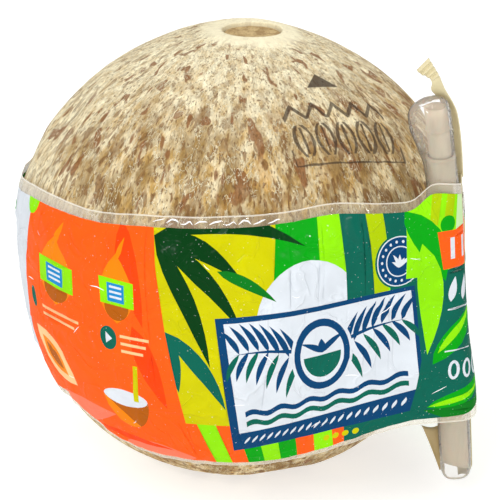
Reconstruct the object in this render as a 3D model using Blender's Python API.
"""A young coconut for drinking, as sold: the trimmed nut with its press-in plug, a film
sleeve shrunk round it, and a telescopic straw in a film wrapper held under the sleeve.

Metres, +Z up. The origin is the centre of the flat spot that the nut stands on, and the
nut's axis is Z. The front, with the plug's near side, faces -Y; the straw stands at the
front right, between +X and -Y.
"""

import math

import bmesh
import bpy
from mathutils import Matrix, Vector

# ---- driving dimensions, metres ----
# The nut is a turned shape: a blunt bowl below its widest level and a pointed dome above.
NUT_RADIUS = 0.0609
BOWL_DEPTH = 0.0721  # widest level down to where the bowl would close
BOWL_BLUNTNESS = 2.53  # 2 would be an ellipse, more is squarer
DOME_HEIGHT = 0.0502  # widest level up to where the dome would close
DOME_BLUNTNESS = 1.65  # under 2 is more pointed than an ellipse
FOOT_RADIUS = 0.0152  # flat spot it stands on
CROWN_RADIUS = 0.0097  # flat left by the trimmer on top
CROWN_EASE = 0.0012  # soft edge round the crown

# The plug that the drinker pushes in.
SOCKET_RADIUS = 0.0079
SOCKET_DEPTH = 0.0070  # below the crown
SOCKET_CENTRE = (0.0030, -0.0015)  # it is bored by hand, so a little off the nut's axis
PLUG_CLEARANCE = 0.0003
PLUG_RECESS = 0.0009  # plug's top below the crown
PLUG_EASE = 0.0004

# The straw: two tubes, the slim one pushed into the wide one.
OUTER_TUBE_RADIUS = 0.0037
TUBE_WALL = 0.0004
SLIDE_CLEARANCE = 0.0003
OUTER_TUBE_LENGTH = 0.0900
TIP_SLANT = 0.0040  # how far the piercing tip is cut back
INNER_TUBE_SHOWS = 0.0130  # length of slim tube standing out of the wide one
INNER_TUBE_TAIL = 0.0120  # slim tube stops this far above the wide one's tip

# The straw's film wrapper, a pouch that is round on the tube and flat at its ends.
FILM_WALL = 0.0003
WRAPPER_CLEARANCE = 0.0003
WRAPPER_BELOW_TIP = 0.0022
WRAPPER_ABOVE_STRAW = 0.0150
EAR_HALF_WIDTH = 0.0062  # flat edges beside the slim tube
CRIMP_HALF_WIDTH = 0.0040
CRIMP_GAP = 0.0004  # between the two films of a crimp

# Where the straw stands: its axis passes this point and leans along the nut's side.
STRAW_AZIMUTH = math.radians(-36.7)  # from +X, anticlockwise seen from above
STRAW_LEAN = math.radians(7.9)  # foot of the straw away from the front
STRAW_LEAN_LEVEL = 0.0600  # height at which the straw is at STRAW_AZIMUTH
STRAW_TIP_LEVEL = 0.0075
STRAW_STAND_OFF = 0.0005  # wrapper to nut at the widest level

# The sleeve: a taut band round the nut and the wrapped straw.
SLEEVE_WALL = 0.0003
SLEEVE_CLEARANCE = 0.0005
SLEEVE_TOP = 0.0823  # on the side away from the straw
SLEEVE_BELOW_JOINT = 0.0042  # top edge to where the slim tube leaves the wide one
SLEEVE_TOP_PEAK = 0.0042  # how far the straw props the top edge up
SLEEVE_PEAK_SPREAD = math.radians(12)
SLEEVE_BOTTOM = 0.0143
SLEEVE_BOTTOM_RISE = 0.0134  # where the straw holds it off the bowl
SLEEVE_RISE_SPREAD = math.radians(27)

# ---- mesh fineness ----
NUT_SIDES = 64
BOWL_RINGS, DOME_RINGS = 15, 13
SOCKET_SIDES = 32
TUBE_SIDES = 24
WRAPPER_SIDES = 28
SLEEVE_RINGS = 15
SLEEVE_NUT_POINTS = 46
SLEEVE_FLAT_POINTS = 4
SLEEVE_STRAW_POINTS = 9

# ---- worked out from the above ----
BOWL_HEIGHT = BOWL_DEPTH * (1 - (FOOT_RADIUS / NUT_RADIUS) ** BOWL_BLUNTNESS) ** (1 / BOWL_BLUNTNESS)
CROWN_LEVEL = BOWL_HEIGHT + DOME_HEIGHT * (1 - (CROWN_RADIUS / NUT_RADIUS) ** DOME_BLUNTNESS) ** (
    1 / DOME_BLUNTNESS
)
INNER_TUBE_RADIUS = OUTER_TUBE_RADIUS - TUBE_WALL - SLIDE_CLEARANCE
WRAPPER_RADIUS = OUTER_TUBE_RADIUS + WRAPPER_CLEARANCE + FILM_WALL
STRAW_DISTANCE = NUT_RADIUS + STRAW_STAND_OFF + WRAPPER_RADIUS  # straw's axis to nut's axis
STRAW_LENGTH = OUTER_TUBE_LENGTH + INNER_TUBE_SHOWS
SLEEVED_LENGTH = OUTER_TUBE_LENGTH - SLEEVE_BELOW_JOINT  # straw's tip to the sleeve's top edge
SLEEVE_TOP_AT_STRAW = STRAW_TIP_LEVEL + SLEEVED_LENGTH * math.cos(STRAW_LEAN)


def material(name, colour, roughness):
    """A plain Principled material with no metal in it."""
    made = bpy.data.materials.new(name)
    made.use_nodes = True
    shader = made.node_tree.nodes["Principled BSDF"]
    shader.inputs["Base Color"].default_value = (*colour, 1)
    shader.inputs["Roughness"].default_value = roughness
    shader.inputs["Metallic"].default_value = 0
    return made


def node(name, shape, finish):
    """Turns a bmesh into a named object, smooth but for its sharp edges."""
    mesh = bpy.data.meshes.new(name)
    shape.to_mesh(mesh)
    shape.free()
    mesh.materials.append(finish)
    mesh.shade_smooth()
    mesh.set_sharp_from_angle(angle=math.radians(35))
    made = bpy.data.objects.new(name, mesh)
    bpy.context.scene.collection.objects.link(made)
    return made


def skin(shape, rings, closed):
    """Joins each ring of vertices to the next with quads, and the last to the first if closed."""
    pairs = list(zip(rings, rings[1:]))
    if closed:
        pairs.append((rings[-1], rings[0]))
    for lower, upper in pairs:
        count = len(lower)
        for i in range(count):
            j = (i + 1) % count
            shape.faces.new((lower[i], lower[j], upper[j], upper[i]))


def ring(shape, points):
    """Adds a ring of vertices and returns it."""
    return [shape.verts.new(point) for point in points]


def capped_skin(shape, outlines):
    """Skins a stack of outlines, given from bottom to top, and closes both its ends."""
    rings = [ring(shape, outline) for outline in outlines]
    skin(shape, rings, closed=False)
    shape.faces.new(reversed(rings[0]))
    shape.faces.new(rings[-1])


# ---- the nut ----
def nut_radius(level):
    """The nut's radius at a height above its foot."""
    up = level - BOWL_HEIGHT
    if up >= 0:
        return NUT_RADIUS * max(1 - (up / DOME_HEIGHT) ** DOME_BLUNTNESS, 0) ** (1 / DOME_BLUNTNESS)
    return NUT_RADIUS * max(1 - (-up / BOWL_DEPTH) ** BOWL_BLUNTNESS, 0) ** (1 / BOWL_BLUNTNESS)


def nut_radius_clear(level, offset):
    """The nut's radius at a height, plus an offset taken square to its surface."""
    step = 0.01 * BOWL_HEIGHT
    slope = (nut_radius(level + step) - nut_radius(level - step)) / (2 * step)
    return nut_radius(level) + offset * math.hypot(1, slope)


def nut_levels():
    """Heights of the nut's rings from foot to crown, closer together where it curves in."""
    bowl = [BOWL_HEIGHT * (1 - math.cos(0.5 * math.pi * i / BOWL_RINGS)) for i in range(BOWL_RINGS)]
    rise = CROWN_LEVEL - CROWN_EASE - BOWL_HEIGHT
    dome = [BOWL_HEIGHT + rise * math.sin(0.5 * math.pi * i / DOME_RINGS) for i in range(DOME_RINGS + 1)]
    return bowl + dome


def circle(radius, level, sides, centre=(0, 0)):
    """Points of a level circle, anticlockwise seen from above."""
    turns = [2 * math.pi * i / sides for i in range(sides)]
    return [
        (centre[0] + radius * math.cos(turn), centre[1] + radius * math.sin(turn), level) for turn in turns
    ]


def make_nut(finish):
    """The turned nut with its blind socket bored in the crown."""
    shape = bmesh.new()
    outlines = [circle(nut_radius(level), level, NUT_SIDES) for level in nut_levels()]
    outlines.append(circle(CROWN_RADIUS, CROWN_LEVEL, NUT_SIDES))
    capped_skin(shape, outlines)
    nut = node("coconut", shape, finish)

    cylinder = bmesh.new()
    ends = [CROWN_LEVEL - SOCKET_DEPTH, CROWN_LEVEL + SOCKET_DEPTH]
    capped_skin(cylinder, [circle(SOCKET_RADIUS, level, SOCKET_SIDES, SOCKET_CENTRE) for level in ends])
    borer = node("socket_borer", cylinder, finish)
    borer.hide_render = True
    borer.display_type = "WIRE"
    bore = nut.modifiers.new("socket", "BOOLEAN")
    bore.operation = "DIFFERENCE"
    bore.object = borer
    return nut


def make_plug(finish):
    """The disc that sits in the socket, a little below the crown."""
    shape = bmesh.new()
    radius = SOCKET_RADIUS - PLUG_CLEARANCE
    base = CROWN_LEVEL - SOCKET_DEPTH + PLUG_CLEARANCE
    top = CROWN_LEVEL - PLUG_RECESS
    sizes = [
        (radius - PLUG_EASE, base),
        (radius, base + PLUG_EASE),
        (radius, top - PLUG_EASE),
        (radius - PLUG_EASE, top),
    ]
    capped_skin(shape, [circle(r, level, SOCKET_SIDES, SOCKET_CENTRE) for r, level in sizes])
    return node("press_plug", shape, finish)


# ---- the straw and its wrapper ----
def straw_frame():
    """Matrix from the straw's own axes to the part's.

    The straw's Z runs up it from its tip, its X points along the nut's side away from the
    front, and its Y points at the nut.
    """
    outwards = Vector((math.cos(STRAW_AZIMUTH), math.sin(STRAW_AZIMUTH), 0))
    along_side = Vector((-math.sin(STRAW_AZIMUTH), math.cos(STRAW_AZIMUTH), 0))
    up = Vector((0, 0, 1)) * math.cos(STRAW_LEAN) - along_side * math.sin(STRAW_LEAN)
    across = along_side * math.cos(STRAW_LEAN) + Vector((0, 0, 1)) * math.sin(STRAW_LEAN)
    inwards = up.cross(across)
    tip = outwards * STRAW_DISTANCE + Vector((0, 0, STRAW_LEAN_LEVEL))
    tip += up * (STRAW_TIP_LEVEL - STRAW_LEAN_LEVEL) / math.cos(STRAW_LEAN)
    turned = Matrix((across, inwards, up)).transposed().to_4x4()
    return Matrix.Translation(tip) @ turned


def straw_centre(level):
    """Where the straw's axis passes a height above the foot, as X and Y."""
    frame = straw_frame()
    up = frame.to_3x3().col[2]
    point = frame.translation + up * ((level - frame.translation.z) / up.z)
    return point.x, point.y


def tube(name, radius, low, high, slant, finish):
    """A straight tube along the straw's axis, its lower end cut back by slant on one side."""
    shape = bmesh.new()
    bore = radius - TUBE_WALL

    def end(size, level, cut):
        return [
            (x, y, level + cut * (0.5 - 0.5 * x / radius)) for x, y, _ in circle(size, level, TUBE_SIDES)
        ]

    loops = [
        ring(shape, end(radius, low, slant)),
        ring(shape, end(radius, high, 0)),
        ring(shape, end(bore, high, 0)),
        ring(shape, end(bore, low, slant)),
    ]
    skin(shape, loops, closed=True)
    shape.transform(straw_frame())
    return node(name, shape, finish)


def wrapper_sections():
    """(height along the straw, half width, half thickness) of the pouch, from bottom to top.

    The shares say how far the film has closed in from the round tube to the flat crimps.
    """
    wide = WRAPPER_RADIUS
    slim = INNER_TUBE_RADIUS + WRAPPER_CLEARANCE + FILM_WALL
    flat = CRIMP_GAP / 2 + FILM_WALL
    ear_start = OUTER_TUBE_LENGTH + 0.3 * INNER_TUBE_SHOWS
    return [
        (-WRAPPER_BELOW_TIP, 0.62 * wide, flat),
        (-0.55 * WRAPPER_BELOW_TIP, 0.86 * wide, 0.62 * wide),
        (0, wide, wide),
        (0.5 * SLEEVED_LENGTH, wide, wide),
        (SLEEVED_LENGTH, wide, wide),
        (OUTER_TUBE_LENGTH, 0.5 * (wide + EAR_HALF_WIDTH), wide),
        (ear_start, EAR_HALF_WIDTH, 0.5 * (wide + slim)),
        (STRAW_LENGTH, EAR_HALF_WIDTH, 1.06 * slim),
        (STRAW_LENGTH + 0.30 * WRAPPER_ABOVE_STRAW, 0.92 * EAR_HALF_WIDTH, 0.45 * slim),
        (STRAW_LENGTH + 0.52 * WRAPPER_ABOVE_STRAW, CRIMP_HALF_WIDTH, flat),
        (STRAW_LENGTH + WRAPPER_ABOVE_STRAW, CRIMP_HALF_WIDTH, flat),
    ]


def make_wrapper(finish):
    """The film pouch: an outer and an inner skin joined round its two narrow mouths."""
    shape = bmesh.new()

    def oval(half_width, half_thickness, level):
        turns = [2 * math.pi * i / WRAPPER_SIDES for i in range(WRAPPER_SIDES)]
        return [(half_width * math.cos(t), half_thickness * math.sin(t), level) for t in turns]

    outside = [ring(shape, oval(w, t, z)) for z, w, t in wrapper_sections()]
    inside = [ring(shape, oval(w - FILM_WALL, t - FILM_WALL, z)) for z, w, t in wrapper_sections()]
    skin(shape, outside + inside[::-1], closed=True)
    shape.transform(straw_frame())
    return node("straw_wrapper", shape, finish)


# ---- the sleeve ----
def from_straw(azimuth):
    """Angle between an azimuth and the straw's, from 0 to pi."""
    return abs((azimuth - STRAW_AZIMUTH + math.pi) % (2 * math.pi) - math.pi)


def sleeve_edges(azimuth):
    """Heights of the band's lower and upper edge at an azimuth."""
    away = from_straw(azimuth)
    rise = SLEEVE_TOP_AT_STRAW - SLEEVE_TOP_PEAK - SLEEVE_TOP
    upper = SLEEVE_TOP + rise * 0.5 * (1 + math.cos(away))
    upper += SLEEVE_TOP_PEAK * math.exp(-((away / SLEEVE_PEAK_SPREAD) ** 2))
    lower = SLEEVE_BOTTOM + SLEEVE_BOTTOM_RISE * math.exp(-((away / SLEEVE_RISE_SPREAD) ** 2))
    return lower, upper


def band_outline(level, offset):
    """The taut outline round the nut and the wrapped straw at a height, offset outwards.

    It runs round the nut, along one flat to the straw, round the straw and along the other
    flat. Every outline has the same count of points.
    """
    centre = straw_centre(level)
    distance = math.hypot(*centre)
    middle = math.atan2(centre[1], centre[0])
    big = nut_radius_clear(level, offset)
    small = WRAPPER_RADIUS + offset
    leave = math.acos((big - small) / distance)  # where the tangent leaves the nut

    last = SLEEVE_NUT_POINTS - 1
    sweep = 2 * (math.pi - leave)
    flats_clear = big / math.cos(0.5 * sweep / last)

    def on_nut(turn):
        return flats_clear * Vector((math.cos(turn), math.sin(turn)))

    def on_straw(turn):
        return Vector(centre) + small * Vector((math.cos(turn), math.sin(turn)))

    points = [on_nut(middle + leave + sweep * i / last) for i in range(SLEEVE_NUT_POINTS)]
    steps = SLEEVE_FLAT_POINTS + 1
    for i in range(1, steps):
        points.append(on_nut(middle - leave).lerp(on_straw(middle - leave), i / steps))
    for i in range(SLEEVE_STRAW_POINTS):
        points.append(on_straw(middle - leave + 2 * leave * i / (SLEEVE_STRAW_POINTS - 1)))
    for i in range(1, steps):
        points.append(on_straw(middle + leave).lerp(on_nut(middle + leave), i / steps))
    return points


def band_skin(shape, offset):
    """The band's surface at an offset from what it wraps, as rings from bottom to top."""
    rough = band_outline(BOWL_HEIGHT, offset)
    edges = [sleeve_edges(math.atan2(point.y, point.x)) for point in rough]
    rings = []
    for row in range(SLEEVE_RINGS):
        share = row / (SLEEVE_RINGS - 1)
        levels = [lower + (upper - lower) * share for lower, upper in edges]
        points = [band_outline(level, offset)[i] for i, level in enumerate(levels)]
        rings.append(ring(shape, [(p.x, p.y, level) for p, level in zip(points, levels)]))
    return rings


def make_sleeve(finish):
    """The film band, an inner and an outer skin joined at both edges."""
    shape = bmesh.new()
    outside = band_skin(shape, SLEEVE_CLEARANCE + SLEEVE_WALL)
    inside = band_skin(shape, SLEEVE_CLEARANCE)
    skin(shape, outside + inside[::-1], closed=True)
    return node("film_sleeve", shape, finish)


def build():
    """Clears the scene and makes every piece."""
    for old in list(bpy.data.objects):
        bpy.data.objects.remove(old)
    husk = material("trimmed_husk", (0.57, 0.45, 0.27), 0.85)
    pith = material("husk_pith", (0.42, 0.31, 0.16), 0.9)
    print_film = material("printed_film", (0.33, 0.60, 0.08), 0.2)
    clear_film = material("wrapper_film", (0.72, 0.65, 0.47), 0.25)
    straw_plastic = material("straw_plastic", (0.74, 0.68, 0.55), 0.35)

    make_nut(husk)
    make_plug(pith)
    make_sleeve(print_film)
    make_wrapper(clear_film)
    tube("straw_outer_tube", OUTER_TUBE_RADIUS, 0, OUTER_TUBE_LENGTH, TIP_SLANT, straw_plastic)
    tube("straw_inner_tube", INNER_TUBE_RADIUS, INNER_TUBE_TAIL, STRAW_LENGTH, 0, straw_plastic)


build()
